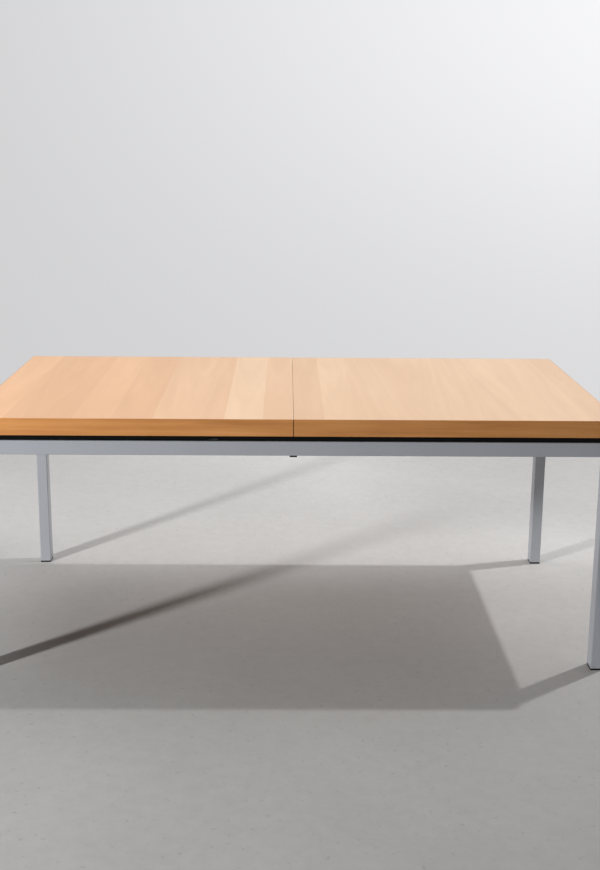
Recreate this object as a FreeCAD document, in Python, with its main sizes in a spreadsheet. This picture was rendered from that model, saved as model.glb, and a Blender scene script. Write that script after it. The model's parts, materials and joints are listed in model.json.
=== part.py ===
import FreeCAD, Part
import Sketcher
import math
import os
import re

# Extending dining table: two top halves run apart on slides over a fixed metal frame, kept in step by a
# rack and pinion in each slide, and a spare leaf lies on the cross beams under the closed top.
# Millimetres, +X along the length, -Y the front, +Z up, origin on the floor under the middle.

SIZES = {
    # Whole table
    "top_length": 1800,
    "top_width": 900,
    "table_height": 740,
    # Top: boards, doublers under their edges and bands around them
    "edge_height": 48,
    "board_thickness": 25,
    "doubler_width": 40,
    "band_thickness": 2,
    "band_edge_radius": 0.8,
    "seam_gap": 0.6,
    "leaf_room": 36,
    "leaf_drop_in": 2,
    # Frame: rails, legs and feet
    "frame_overhang": 5,
    "shadow_gap": 16,
    "rail_height": 40,
    "rail_width": 35,
    "rail_wall": 2.5,
    "leg_width": 35,
    "leg_depth": 45,
    "leg_wall": 2,
    "tube_edge_radius": 2,
    "foot_plate": 5,
    "foot_plug": 25,
    "plug_fit": 0.2,
    # Black strips in the shadow gap
    "strip_setback": 6,
    "strip_thickness": 12,
    "strip_clearance": 1,
    # Corner joints
    "insert_drop": 10,
    "end_block_length": 30,
    "bolt_diameter": 8,
    "bolt_reach": 25,
    "bolt_offset": 7,
    "bolt_head_diameter": 13,
    "bolt_head_height": 8,
    "bolt_key": 6,
    "hole_clearance": 0.1,
    # Cross beams
    "beam_width": 30,
    "beam_height": 20,
    "beam_wall": 2,
    "beam_end_gap": 0.3,
    "leaf_bearing": 10,
    "outer_beam_inset": 70,
    "screw_diameter": 5,
    "screw_head_diameter": 9.5,
    "screw_head_height": 2.4,
    "screw_key": 3,
    # Slides and runners
    "slide_room": 54,
    "slide_end_gap": 10,
    "slide_base_half": 26,
    "slide_top_half": 20,
    "slide_web_half": 5,
    "slide_flange": 3,
    "slide_groove": 16,
    "slide_screw_bite": 14,
    "stop_length": 10,
    "stop_gap": 1,
    "runner_fit": 0.3,
    "riser_fit": 0.5,
    "runner_flange": 3,
    "runner_reach": 40,
    "runner_overlap": 38,
    "seam_margin": 30,
    "runner_screw_margin": 40,
    "runner_screw_count": 4,
    "runner_screw_bite": 15,
    "runner_screw_diameter": 4,
    # Rack and pinion
    "gear_module": 2,
    "pinion_teeth": 16,
    "pinion_thickness": 11,
    "rack_tip": 1.6,
    "rack_root": 2.2,
    "rack_overcut": 0.4,
    "pinion_tip": 1.7,
    "pinion_root": 2.5,
    "pressure_angle": 20,
    "backlash": 0.4,
    "rack_spare_teeth": 3,
    "pin_diameter": 8,
    "pin_fit": 0.05,
    "window_clearance": 2,
    # Dowels in the seam
    "dowel_diameter": 10,
    "dowel_length": 38,
    "dowel_seat": 20,
    "dowel_fit": 0.3,
    "dowel_spacing": 300,
    # Lock bar and guide
    "lock_width": 20,
    "lock_thickness": 4,
    "lock_setback": 2,
    "lock_gap": 0.3,
    "lock_rail_room": 6,
    "lock_rise": 3.5,
    "lock_stroke": 8,
    "lock_nose_room": 2,
    "lock_notch_room": 3,
    "lock_notch_fit": 0.6,
    "guide_room": 2,
    "guide_wall": 6,
    "guide_plate": 3,
    "guide_lap": 16,
    "guide_border": 6,
    "guide_fit": 0.25,
}

# Places that follow from the sizes above
PLACES = {
    "half_length": "top_length / 2",
    "half_width": "top_width / 2",
    "edge_bottom": "table_height - edge_height",
    "board_bottom": "table_height - board_thickness",
    "board_x": "half_length - band_thickness",
    "board_y": "half_width - band_thickness",
    "seam_x": "seam_gap / 2",
    "rail_top": "edge_bottom - shadow_gap",
    "rail_bottom": "rail_top - rail_height",
    "frame_x": "half_length - frame_overhang",
    "frame_y": "half_width - frame_overhang",
    "leg_inner_x": "frame_x - leg_width",
    "leg_inner_y": "frame_y - leg_depth",
    "rail_inner_y": "frame_y - rail_width",
    "bolt_line_x": "frame_x - rail_width / 2",
    "bolt_line_y": "frame_y - rail_width / 2",
    "long_bolt_z": "rail_bottom + rail_height / 2 - bolt_offset",
    "end_bolt_z": "rail_bottom + rail_height / 2 + bolt_offset",
    "strip_x": "frame_x - strip_setback",
    "strip_y": "frame_y - strip_setback",
    "beam_bottom": "rail_bottom + rail_wall",
    "beam_top": "beam_bottom + beam_height",
    "beam_reach": "frame_y - rail_wall - beam_end_gap",
    "inner_beam_x": "half_width - leaf_bearing",
    "outer_beam_x": "slide_half_length - outer_beam_inset",
    "slide_half_length": "frame_x - rail_width - slide_end_gap",
    "slide_y": "rail_inner_y - slide_room - slide_base_half",
    "groove_bottom": "beam_top + slide_flange",
    "groove_top": "groove_bottom + slide_groove",
    "slide_top": "groove_top + slide_flange",
    "dowel_reach": "dowel_length - dowel_seat",
    "leaf_side": "slide_y - slide_base_half - dowel_reach - leaf_room",
    "travel": "leaf_side + leaf_drop_in",
    "runner_outer_end": "slide_half_length - stop_length - stop_gap - travel",
    "runner_inner_end": "travel + runner_overlap",
    "flange_bottom": "board_bottom - runner_flange",
    "riser_inner": "slide_top_half + riser_fit",
    "flange_middle": "(slide_base_half + runner_reach) / 2",
    "flange_length": "runner_outer_end - seam_margin",
    "runner_screw_spacing": "(flange_length - 2 * runner_screw_margin) / (runner_screw_count - 1)",
    "pitch_radius": "gear_module * pinion_teeth / 2",
    "rack_pitch": "pi * gear_module",
    "travel_teeth": "(ceil(travel / rack_pitch) + rack_spare_teeth)",
    "dowel_z": "board_bottom + board_thickness / 2",
    "dowel_hole": "dowel_diameter + 2 * dowel_fit",
    "dowel_depth": "max(dowel_seat; dowel_reach) + dowel_fit",
    "leaf_bottom": "beam_top",
    "leaf_board_bottom": "leaf_bottom + edge_height - board_thickness",
    "tab_top": "rail_bottom - lock_gap",
    "nose_bottom": "slide_top + lock_rise",
    "lock_back": "rail_inner_y - lock_rail_room",
    "nose_tip": "slide_y + slide_base_half + lock_nose_room",
    "guide_outer": "lock_back - lock_thickness - lock_stroke - guide_room",
}

doc = FreeCAD.newDocument("dining_table")
sheet = doc.addObject("Spreadsheet::Sheet", "Sizes")
for row, (name, size) in enumerate(SIZES.items(), start=1):
    sheet.set(f"A{row}", name)
    sheet.set(f"B{row}", str(size))
    sheet.setAlias(f"B{row}", name)
doc.recompute()

PIECES = []
HALF_TURN = FreeCAD.Rotation(FreeCAD.Vector(0, 0, 1), 180)
ALONG_X = FreeCAD.Rotation(FreeCAD.Vector(0, 1, 0), 90)
AGAINST_X = FreeCAD.Rotation(FreeCAD.Vector(0, 1, 0), -90)
ALONG_Y = FreeCAD.Rotation(FreeCAD.Vector(1, 0, 0), -90)
AGAINST_Y = FreeCAD.Rotation(FreeCAD.Vector(1, 0, 0), 90)
UPWARD = FreeCAD.Rotation()
DOWNWARD = FreeCAD.Rotation(FreeCAD.Vector(1, 0, 0), 180)


def formula(text):
    """Write the names of sizes and places in text as an expression on the sheet."""
    def swap(match):
        word = match.group(0)
        if word in PLACES:
            return f"({formula(PLACES[word])})"
        return f"Sizes.{word}" if word in SIZES else word
    return re.sub(r"[a-z_]+", swap, text)


def value(text):
    return float(sheet.evalExpression(formula(text)))


def bind(thing, path, text):
    thing.setExpression(path, formula(text))


def place(thing, x="0", y="0", z="0", rotation=UPWARD):
    """Put a thing at bound coordinates."""
    thing.Placement.Rotation = rotation
    for axis, text in zip("xyz", (x, y, z)):
        if text != "0":
            bind(thing, f"Placement.Base.{axis}", text)


def piece(thing, label, turned=False):
    """Name a finished piece, and turn it half round the table's middle if it is the second of a pair."""
    thing.Label = label
    if turned:
        thing.Placement.Rotation = HALF_TURN
    PIECES.append(thing)
    return thing


def new_body():
    return doc.addObject("PartDesign::Body", "Body")


def new_sketch(body, plane, offset="0"):
    """A sketch on one of the body's own planes, moved along the plane's normal by offset."""
    sketch = body.newObject("Sketcher::SketchObject", "Sketch")
    support = next(feature for feature in body.Origin.OriginFeatures if feature.Role == f"{plane}_Plane")
    sketch.AttachmentSupport = [(support, "")]
    sketch.MapMode = "FlatFace"
    if offset != "0":
        bind(sketch, "AttachmentOffset.Base.z", offset)
    return sketch


def fix_point(sketch, element, corner, x, y):
    """Hold one point of the sketch at bound coordinates."""
    for kind, text in (("DistanceX", x), ("DistanceY", y)):
        index = sketch.addConstraint(Sketcher.Constraint(kind, element, corner, value(text)))
        name = f"{kind}{element}"
        sketch.renameConstraint(index, name)
        bind(sketch, f"Constraints.{name}", text)


def outline(sketch, corners):
    """A closed outline of straight lines through bound corners."""
    first = sketch.GeometryCount
    count = len(corners)
    points = [FreeCAD.Vector(value(x), value(y), 0) for x, y in corners]
    for index in range(count):
        sketch.addGeometry(Part.LineSegment(points[index], points[(index + 1) % count]), False)
    for index, (x, y) in enumerate(corners):
        following = first + (index + 1) % count
        sketch.addConstraint(Sketcher.Constraint("Coincident", first + index, 2, following, 1))
        fix_point(sketch, first + index, 1, x, y)


def rectangle(sketch, low_x, high_x, low_y, high_y):
    outline(sketch, [(low_x, low_y), (high_x, low_y), (high_x, high_y), (low_x, high_y)])


def circle(sketch, x, y, diameter):
    centre = FreeCAD.Vector(value(x), value(y), 0)
    ring = Part.Circle(centre, FreeCAD.Vector(0, 0, 1), value(diameter) / 2)
    element = sketch.addGeometry(ring, False)
    fix_point(sketch, element, 3, x, y)
    index = sketch.addConstraint(Sketcher.Constraint("Diameter", element, value(diameter)))
    name = f"Diameter{element}"
    sketch.renameConstraint(index, name)
    bind(sketch, f"Constraints.{name}", diameter)


def pad(body, sketch, length, both_ways=False):
    feature = body.newObject("PartDesign::Pad", "Pad")
    feature.Profile = sketch
    if both_ways:
        feature.SideType = "Symmetric"
    bind(feature, "Length", length)
    return feature


def pocket(body, sketch, depth, reverse=False):
    """Cut a sketch into the body: along the sketch's normal when reversed, against it otherwise."""
    doc.recompute()
    before = body.Shape.Volume
    feature = body.newObject("PartDesign::Pocket", "Pocket")
    feature.Profile = sketch
    feature.Reversed = reverse
    bind(feature, "Length", depth)
    doc.recompute()
    if body.Shape.Volume >= before:
        raise RuntimeError(f"a cut in {body.Name} removes nothing")
    return feature


def round_edges(body, radius, chosen):
    """Round the edges of the body's last feature that the test picks."""
    doc.recompute()
    base = body.Tip
    names = [f"Edge{index}" for index, edge in enumerate(base.Shape.Edges, start=1) if chosen(edge)]
    feature = body.newObject("PartDesign::Fillet", "Fillet")
    feature.Base = (base, names)
    bind(feature, "Radius", radius)


def runs_along(edge, axis):
    """True for a straight edge along one axis: 0, 1 or 2 for X, Y or Z."""
    if not isinstance(edge.Curve, Part.Line):
        return False
    return abs(abs(edge.Curve.Direction[axis]) - 1) < 1e-6


def middle(edge):
    return edge.BoundBox.Center


def near(a, b):
    return abs(a - b) < 1e-3


def bar(x_limits, y_limits, z_limits, turned=False):
    """A plain rectangular bar between bound limits, turned half round the table's middle if asked."""
    thing = doc.addObject("Part::Box", "Bar")
    for length, (low, high) in zip(("Length", "Width", "Height"), (x_limits, y_limits, z_limits)):
        bind(thing, length, f"({high}) - ({low})")
    if turned:
        place(thing, f"-({x_limits[0]})", f"-({y_limits[0]})", z_limits[0], HALF_TURN)
    else:
        place(thing, x_limits[0], y_limits[0], z_limits[0])
    return thing


def rod(diameter, length):
    thing = doc.addObject("Part::Cylinder", "Rod")
    bind(thing, "Radius", f"({diameter}) / 2")
    bind(thing, "Height", length)
    return thing


def group(things):
    thing = doc.addObject("Part::Compound", "Group")
    thing.Links = things
    return thing


def fastener(diameter, length, head_diameter, head_height, key, at, rotation):
    """A bolt or screw with a hexagon socket: its head seats at the point and its shank runs on."""
    shank = rod(diameter, length)
    head = rod(head_diameter, head_height)
    bind(head, "Placement.Base.z", f"-({head_height})")
    blank = doc.addObject("Part::Fuse", "Blank")
    blank.Base = head
    blank.Tool = shank
    socket = doc.addObject("Part::Prism", "Socket")
    socket.Polygon = 6
    bind(socket, "Circumradius", f"({key}) / sqrt(3)")
    bind(socket, "Height", f"({head_height}) / 2")
    bind(socket, "Placement.Base.z", f"-({head_height})")
    thing = doc.addObject("Part::Cut", "Fastener")
    thing.Base = blank
    thing.Tool = socket
    place(thing, *at, rotation)
    return thing


# Rails: channels that are open towards the inside of the frame
def channel_corners(outer, inward):
    """Section of a rail whose outer face lies at outer and which opens inward, +1 or -1."""
    wall = f"({outer}) + {inward} * rail_wall"
    lip = f"({outer}) + {inward} * rail_width"
    low = "rail_bottom"
    high = "rail_top"
    return [(outer, low), (lip, low), (lip, f"{low} + rail_wall"), (wall, f"{low} + rail_wall"),
            (wall, f"{high} - rail_wall"), (lip, f"{high} - rail_wall"), (lip, high), (outer, high)]


def long_rail(label, turned):
    body = new_body()
    section = new_sketch(body, "YZ")
    outline(section, channel_corners("-frame_y", 1))
    pad(body, section, "2 * leg_inner_x", both_ways=True)
    round_edges(body, "tube_edge_radius",
                lambda edge: runs_along(edge, 0) and near(middle(edge).y, -value("frame_y")))
    holes = new_sketch(body, "XY", "rail_bottom")
    for beam_x in BEAMS.values():
        circle(holes, beam_x, "-bolt_line_y", "screw_diameter + 2 * hole_clearance")
    pocket(body, holes, "rail_wall", reverse=True)
    piece(body, label, turned)


def end_rail(label, turned):
    body = new_body()
    section = new_sketch(body, "XZ")
    outline(section, channel_corners("-frame_x", 1))
    pad(body, section, "2 * leg_inner_y", both_ways=True)
    round_edges(body, "tube_edge_radius",
                lambda edge: runs_along(edge, 1) and near(middle(edge).x, -value("frame_x")))
    piece(body, label, turned)


# Legs and feet: side is -1 on the left and +1 on the right, for the two front legs
def leg(label, side, turned):
    body = new_body()
    section = new_sketch(body, "XY", "foot_plate")
    rectangle(section, f"{side} * frame_x", f"{side} * leg_inner_x", "-frame_y", "-leg_inner_y")
    rectangle(section, f"{side} * (frame_x - leg_wall)", f"{side} * (leg_inner_x + leg_wall)",
              "-(frame_y - leg_wall)", "-(leg_inner_y + leg_wall)")
    pad(body, section, "rail_top - foot_plate")
    outer_x = (value("frame_x"), value("leg_inner_x"))
    round_edges(body, "tube_edge_radius",
                lambda edge: runs_along(edge, 2) and any(near(abs(middle(edge).x), x) for x in outer_x))
    hole = "bolt_diameter + 2 * hole_clearance"
    long_hole = new_sketch(body, "YZ")
    circle(long_hole, "-bolt_line_y", "long_bolt_z", hole)
    pocket(body, long_hole, "leg_inner_x + 2 * leg_wall", reverse=side > 0)
    end_hole = new_sketch(body, "XZ")
    circle(end_hole, f"{side} * bolt_line_x", "end_bolt_z", hole)
    pocket(body, end_hole, "leg_inner_y + 2 * leg_wall", reverse=True)
    piece(body, label, turned)


def foot(label, side, turned):
    """A plate of the leg's outline with a plug that stands in the leg."""
    body = new_body()
    plate = new_sketch(body, "XY")
    rectangle(plate, f"{side} * frame_x", f"{side} * leg_inner_x", "-frame_y", "-leg_inner_y")
    pad(body, plate, "foot_plate")
    round_edges(body, "tube_edge_radius", lambda edge: runs_along(edge, 2))
    plug = new_sketch(body, "XY", "foot_plate")
    inset = "leg_wall + plug_fit"
    rectangle(plug, f"{side} * (frame_x - ({inset}))", f"{side} * (leg_inner_x + {inset})",
              f"-(frame_y - ({inset}))", f"-(leg_inner_y + {inset})")
    pad(body, plug, "foot_plug")
    piece(body, label, turned)


CORNERS = [(-1, -1), (1, -1), (1, 1), (-1, 1)]
FACING_X = {-1: AGAINST_X, 1: ALONG_X}
FACING_Y = {-1: AGAINST_Y, 1: ALONG_Y}


def drilled(blank, holes):
    """A bar with rods taken out of it."""
    thing = doc.addObject("Part::Cut", "Drilled")
    thing.Base = blank
    thing.Tool = group(holes)
    return thing


def spans(side, near_text, far_text):
    """Low and high limit of a span that lies between two distances on the given side of the middle."""
    if side > 0:
        return near_text, far_text
    return f"-({far_text})", f"-({near_text})"


def corner_joints():
    """Inserts in the legs' tops, blocks in the rails' ends, and the bolts that join block and leg."""
    inserts = []
    blocks = []
    bolts = []
    hole = "bolt_diameter + 2 * hole_clearance"
    inset = "leg_wall + plug_fit"
    block_x = "leg_inner_x - end_block_length"
    block_y = "leg_inner_y - end_block_length"
    block_z = ("rail_bottom + rail_wall", "rail_top - rail_wall")
    for side_x, side_y in CORNERS:
        long_axis = (f"{side_y} * bolt_line_y", "long_bolt_z")
        end_axis = (f"{side_x} * bolt_line_x", "end_bolt_z")
        insert_x = spans(side_x, f"leg_inner_x + {inset}", f"frame_x - ({inset})")
        insert_y = spans(side_y, f"leg_inner_y + {inset}", f"frame_y - ({inset})")
        long_tap = rod(hole, "bolt_reach + end_block_length")
        place(long_tap, f"{side_x} * ({block_x})", *long_axis, FACING_X[side_x])
        end_tap = rod(hole, "bolt_reach + end_block_length")
        place(end_tap, end_axis[0], f"{side_y} * ({block_y})", end_axis[1], FACING_Y[side_y])
        insert = bar(insert_x, insert_y, ("rail_bottom - insert_drop", "rail_top"))
        inserts.append(drilled(insert, [long_tap, end_tap]))
        long_bore = rod(hole, "end_block_length")
        place(long_bore, f"{side_x} * ({block_x})", *long_axis, FACING_X[side_x])
        long_block = bar(spans(side_x, block_x, "leg_inner_x"),
                         spans(side_y, "rail_inner_y", "frame_y - rail_wall"), block_z)
        end_bore = rod(hole, "end_block_length")
        place(end_bore, end_axis[0], f"{side_y} * ({block_y})", end_axis[1], FACING_Y[side_y])
        end_block = bar(spans(side_x, "frame_x - rail_width", "frame_x - rail_wall"),
                        spans(side_y, block_y, "leg_inner_y"), block_z)
        blocks += [drilled(long_block, [long_bore]), drilled(end_block, [end_bore])]
        shape = ("bolt_diameter", "bolt_reach + end_block_length", "bolt_head_diameter", "bolt_head_height",
                 "bolt_key")
        bolts.append(fastener(*shape, (f"{side_x} * ({block_x})", *long_axis), FACING_X[side_x]))
        bolts.append(fastener(*shape, (end_axis[0], f"{side_y} * ({block_y})", end_axis[1]),
                              FACING_Y[side_y]))
    piece(group(inserts), "leg_inserts")
    piece(group(blocks), "rail_end_blocks")
    piece(group(bolts), "corner_bolts")


def strips():
    """Black strips on the rails that close the gap under the top."""
    height = ("rail_top", "edge_bottom - strip_clearance")
    inner_y = "strip_y - strip_thickness"
    long_plan = (("-strip_x", "strip_x"), ("-strip_y", f"-({inner_y})"))
    end_plan = (("-strip_x", "-strip_x + strip_thickness"), (f"-({inner_y})", inner_y))
    for label, plan, turned in (("front_strip", long_plan, False), ("rear_strip", long_plan, True),
                                ("left_strip", end_plan, False), ("right_strip", end_plan, True)):
        piece(bar(*plan, height, turned), label)


# Cross beams between the long rails, by name
BEAMS = {
    "far_left_beam": "-outer_beam_x",
    "left_beam": "-inner_beam_x",
    "right_beam": "inner_beam_x",
    "far_right_beam": "outer_beam_x",
}


def beam(label, beam_x):
    body = new_body()
    section = new_sketch(body, "XZ")
    low_x = f"{beam_x} - beam_width / 2"
    high_x = f"{beam_x} + beam_width / 2"
    rectangle(section, low_x, high_x, "beam_bottom", "beam_top")
    rectangle(section, f"{low_x} + beam_wall", f"{high_x} - beam_wall", "beam_bottom + beam_wall",
              "beam_top - beam_wall")
    pad(body, section, "2 * beam_reach", both_ways=True)
    holes = new_sketch(body, "XY", "beam_bottom")
    for side in (-1, 1):
        for line in ("bolt_line_y", "slide_y"):
            circle(holes, beam_x, f"{side} * {line}", "screw_diameter + 2 * hole_clearance")
    pocket(body, holes, "beam_height", reverse=True)
    piece(body, label)


def beam_fasteners():
    """Screws down through the beams into the rails, and up through the beams into the slides."""
    down = []
    up = []
    shape = ("screw_head_diameter", "screw_head_height", "screw_key")
    for beam_x in BEAMS.values():
        for side in (-1, 1):
            down.append(fastener("screw_diameter", "beam_height + rail_wall", *shape,
                                 (beam_x, f"{side} * bolt_line_y", "beam_top"), DOWNWARD))
            up.append(fastener("screw_diameter", "beam_height + slide_screw_bite", *shape,
                               (beam_x, f"{side} * slide_y", "beam_bottom"), UPWARD))
    piece(group(down), "beam_screws")
    piece(group(up), "slide_screws")


def slide(label, turned):
    """Fixed slide: a web between two flanges, with a groove on each side and a window for the pinion."""
    body = new_body()
    section = new_sketch(body, "YZ")
    base = ("-slide_y - slide_base_half", "-slide_y + slide_base_half")
    web = ("-slide_y - slide_web_half", "-slide_y + slide_web_half")
    top = ("-slide_y - slide_top_half", "-slide_y + slide_top_half")
    outline(section, [(base[0], "beam_top"), (base[1], "beam_top"), (base[1], "groove_bottom"),
                      (web[1], "groove_bottom"), (web[1], "groove_top"), (top[1], "groove_top"),
                      (top[1], "slide_top"), (top[0], "slide_top"), (top[0], "groove_top"),
                      (web[0], "groove_top"), (web[0], "groove_bottom"), (base[0], "groove_bottom")])
    pad(body, section, "2 * slide_half_length", both_ways=True)
    window = new_sketch(body, "XY", "groove_bottom")
    reach = "pitch_radius + pinion_tip + window_clearance"
    rectangle(window, f"-({reach})", reach, *web)
    pocket(body, window, "slide_groove", reverse=True)
    pin_hole = new_sketch(body, "XY", "beam_top")
    circle(pin_hole, "0", "-slide_y", "pin_diameter + 2 * pin_fit")
    pocket(body, pin_hole, "slide_top - beam_top", reverse=True)
    screw_holes = new_sketch(body, "XY", "beam_top")
    for beam_x in BEAMS.values():
        circle(screw_holes, beam_x, "-slide_y", "screw_diameter + 2 * hole_clearance")
    pocket(body, screw_holes, "slide_screw_bite", reverse=True)
    piece(body, label, turned)


def slide_stops():
    """Blocks in the grooves' ends that the runners come up against when the top is open."""
    stops = []
    for turn in (1, -1):
        for side, near_d, far_d in ((-1, "slide_web_half", "slide_base_half"),
                                    (1, "-slide_base_half", "-slide_web_half")):
            limits_x = spans(turn * side, "slide_half_length - stop_length", "slide_half_length")
            limits_y = spans(-turn, f"slide_y + ({near_d})", f"slide_y + ({far_d})")
            stops.append(bar(limits_x, limits_y, ("groove_bottom", "groove_top")))
    piece(group(stops), "slide_stops")


def pinion_pins():
    pins = []
    for side in (-1, 1):
        pin = rod("pin_diameter", "slide_top - beam_top")
        place(pin, "0", f"{side} * slide_y", "beam_top")
        pins.append(pin)
    piece(group(pins), "pinion_pins")


def runner(label, half, turned):
    """Runner of the front slide, which lies under its own half and reaches past the seam. The left half's,
    -1, runs in the groove away from the middle, and the right half's, +1, in the inner groove."""
    body = new_body()

    def across(distance):
        return f"-slide_y + {half} * ({distance})"

    profile = new_sketch(body, "YZ", "-runner_outer_end" if half < 0 else "-runner_inner_end")
    low = "groove_bottom + runner_fit"
    high = "groove_top - runner_fit"
    tip = across("pitch_radius - rack_tip")
    inner = across("riser_inner")
    outer = across("slide_base_half")
    outline(profile, [(tip, low), (outer, low), (outer, "flange_bottom"), (inner, "flange_bottom"),
                      (inner, high), (tip, high)])
    pad(body, profile, "runner_outer_end + runner_inner_end")
    flange = new_sketch(body, "YZ", "-runner_outer_end" if half < 0 else "seam_margin")
    rectangle(flange, inner, across("runner_reach"), "flange_bottom", "board_bottom")
    pad(body, flange, "flange_length")
    screw_holes = new_sketch(body, "XY", "flange_bottom")
    for index in range(SIZES["runner_screw_count"]):
        circle(screw_holes, f"{half} * ({runner_screw_at(index)})", across("flange_middle"),
               "runner_screw_diameter + 2 * hole_clearance")
    pocket(body, screw_holes, "runner_flange", reverse=True)
    if half < 0:
        cut_notches(body)
    cut_rack(body, across, half)
    piece(body, label, turned)


def cut_notches(body):
    """Notches in the left runner's riser that face the lock's nose when the top is closed and when open."""
    notches = new_sketch(body, "XZ", "slide_y")
    for stop in ("0", "travel"):
        rectangle(notches, f"{stop} - lock_width / 2 - lock_notch_room",
                  f"{stop} + lock_width / 2 + lock_notch_room", "nose_bottom - lock_notch_fit",
                  "nose_bottom + lock_thickness + lock_notch_fit")
    pocket(body, notches, "slide_base_half", reverse=True)


def cut_rack(body, across, half):
    """Cut the gaps of the rack teeth into the runner's tongue: one gap faces the pinion's axis at rest."""
    slope = "tan(pressure_angle * 1deg)"
    gap_half = "(rack_pitch / 2 + backlash / 2) / 2"
    past_tip = "rack_tip + rack_overcut"
    wide = f"({gap_half} + ({past_tip}) * {slope})"
    narrow = f"({gap_half} - rack_root * {slope})"
    odd_shift = "mod(pinion_teeth; 2) / 2"
    first_tooth = "rack_spare_teeth" if half < 0 else f"travel_teeth - {odd_shift}"
    first = f"-({first_tooth}) * rack_pitch"
    mouth = across(f"pitch_radius - ({past_tip})")
    floor = across("pitch_radius + rack_root")
    gap = new_sketch(body, "XY", "groove_bottom")
    outline(gap, [(f"{first} - {wide}", mouth), (f"{first} + {wide}", mouth),
                  (f"{first} + {narrow}", floor), (f"{first} - {narrow}", floor)])
    cut = pocket(body, gap, "slide_groove", reverse=True)
    pattern = body.newObject("PartDesign::LinearPattern", "Rack")
    pattern.Originals = [cut]
    pattern.Direction = (gap, ["H_Axis"])
    pattern.Mode = "Spacing"
    bind(pattern, "Offset", "rack_pitch")
    bind(pattern, "Occurrences", "travel_teeth + rack_spare_teeth + 1")
    body.Tip = pattern


def runner_screw_at(index):
    """Distance from the seam of a runner's screw."""
    return f"seam_margin + runner_screw_margin + {index} * runner_screw_spacing"


def runner_screws(label, half):
    """Screws through the runners' flanges up into the board of the left, -1, or right, +1, half."""
    screws = []
    for index in range(SIZES["runner_screw_count"]):
        for line in (f"{half} * (slide_y + flange_middle)", f"-{half} * (slide_y - flange_middle)"):
            screws.append(fastener("runner_screw_diameter", "runner_flange + runner_screw_bite",
                                   "screw_head_diameter", "screw_head_height", "screw_key",
                                   (f"{half} * ({runner_screw_at(index)})", line, "flange_bottom"), UPWARD))
    piece(group(screws), label)


# Top halves and the spare leaf
def half_board(label, turned):
    body = new_body()
    plan = new_sketch(body, "XY", "board_bottom")
    rectangle(plan, "-board_x", "-seam_x", "-board_y", "board_y")
    pad(body, plan, "board_thickness")
    screw_holes = new_sketch(body, "XY", "board_bottom")
    for index in range(SIZES["runner_screw_count"]):
        for line in ("-(slide_y + flange_middle)", "slide_y - flange_middle"):
            circle(screw_holes, f"-({runner_screw_at(index)})", line,
                   "runner_screw_diameter + 2 * hole_clearance")
    pocket(body, screw_holes, "runner_screw_bite + hole_clearance", reverse=True)
    dowel_holes = new_sketch(body, "YZ")
    for index in (-1, 0, 1):
        circle(dowel_holes, f"{index} * dowel_spacing", "dowel_z", "dowel_hole")
    pocket(body, dowel_holes, "seam_x + dowel_depth")
    piece(body, label, turned)


def edge_band(label, turned, x_limits, y_limits, z_limits, outer_axis, outer_text, eased_ends):
    """A thin band on an edge: the long arrises of its outer face are rounded, those at its ends if eased."""
    body = new_body()
    plan = new_sketch(body, "XY", z_limits[0])
    rectangle(plan, *x_limits, *y_limits)
    pad(body, plan, f"({z_limits[1]}) - ({z_limits[0]})")
    outer = value(outer_text)

    def rounded(edge):
        return near(middle(edge)[outer_axis], outer) and (eased_ends or not runs_along(edge, 2))

    round_edges(body, "band_edge_radius", rounded)
    piece(body, label, turned)


def top_half(side, turned):
    """Board, doublers and bands of one half: modelled as the left one, turned for the right one."""
    half_board(f"{side}_board", turned)
    front, rear = ("rear", "front") if turned else ("front", "rear")
    doubler_inner = "board_y - doubler_width"
    doubler_z = ("edge_bottom", "board_bottom")
    band_z = ("edge_bottom", "table_height")
    along = ("-board_x", "-seam_x")
    end = ("-board_x", "-board_x + doubler_width")
    plans = {
        f"{side}_{front}_doubler": (along, ("-board_y", f"-({doubler_inner})")),
        f"{side}_{rear}_doubler": (along, (doubler_inner, "board_y")),
        f"{side}_end_doubler": (end, (f"-({doubler_inner})", doubler_inner)),
    }
    for label, plan in plans.items():
        piece(bar(*plan, doubler_z, turned), label)
    band_x = ("-half_length", "-seam_x")
    front_y = ("-half_width", "-board_y")
    rear_y = ("board_y", "half_width")
    edge_band(f"{side}_{front}_band", turned, band_x, front_y, band_z, 1, "-half_width", eased_ends=True)
    edge_band(f"{side}_{rear}_band", turned, band_x, rear_y, band_z, 1, "half_width", eased_ends=True)
    edge_band(f"{side}_end_band", turned, ("-half_length", "-board_x"), ("-board_y", "board_y"), band_z,
              0, "-half_length", eased_ends=False)


def seam_dowels(label):
    dowels = []
    for index in (-1, 0, 1):
        dowel = rod("dowel_diameter", "dowel_length")
        place(dowel, "-seam_x - dowel_seat", f"{index} * dowel_spacing", "dowel_z", ALONG_X)
        dowels.append(dowel)
    piece(group(dowels), label)


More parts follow.
